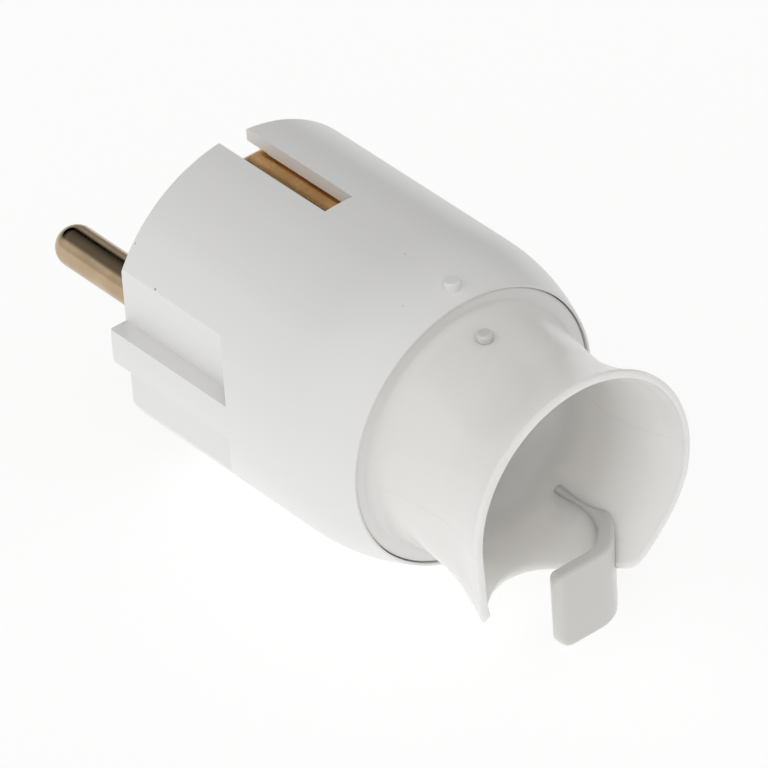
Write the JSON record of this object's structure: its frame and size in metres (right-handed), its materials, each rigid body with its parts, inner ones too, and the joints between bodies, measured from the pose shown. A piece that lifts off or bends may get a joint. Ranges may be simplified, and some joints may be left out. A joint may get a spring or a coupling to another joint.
{
  "type": "electrical plug",
  "caption": "White rewireable mains plug with two round brass pins, side earth contacts, a flared cable outlet and a cord hook.",
  "frame": {"origin": "centre of the flat front face that meets the socket", "axes": "+X runs back along the plug to the cable outlet, the pins point to -X on the Y axis, +Z is the upper earth contact; the plug lies on its lower side"},
  "size_m": [0.0739, 0.0362, 0.0362],
  "materials": {
    "body_plastic": "smooth white moulding with a soft gloss",
    "cap_plastic": "slightly milky off-white moulding with a soft gloss",
    "block_plastic": "pale insulating moulding",
    "pin_brass": "drawn brass, lightly tarnished",
    "strip_brass": "folded brass strip",
    "screw_steel": "zinc-plated steel"
  },
  "bodies": {
    "plug": {"plug_body": "body_plastic", "contact_block": "block_plastic", "cord_clamp_bar": "block_plastic", "live_pin": "pin_brass", "neutral_pin": "pin_brass", "earth_sleeve": "pin_brass", "earth_bow": "strip_brass", "earth_sleeve_spring": "screw_steel", "live_terminal_screw": "screw_steel", "neutral_terminal_screw": "screw_steel", "earth_terminal_screw": "screw_steel", "earth_wire_washer": "screw_steel", "cord_clamp_screw_left": "screw_steel", "cord_clamp_screw_right": "screw_steel", "cord_clamp_nut_left": "screw_steel", "cord_clamp_nut_right": "screw_steel"},
    "cap": {"cable_cap": "cap_plastic"}
  },
  "joints": [
    {"name": "cap_twist", "type": "hinge", "parent": "plug", "child": "cap", "pos_m": [0.035, 0, 0], "axis": [1, 0, 0], "range_deg": [0, 90]}
  ]
}
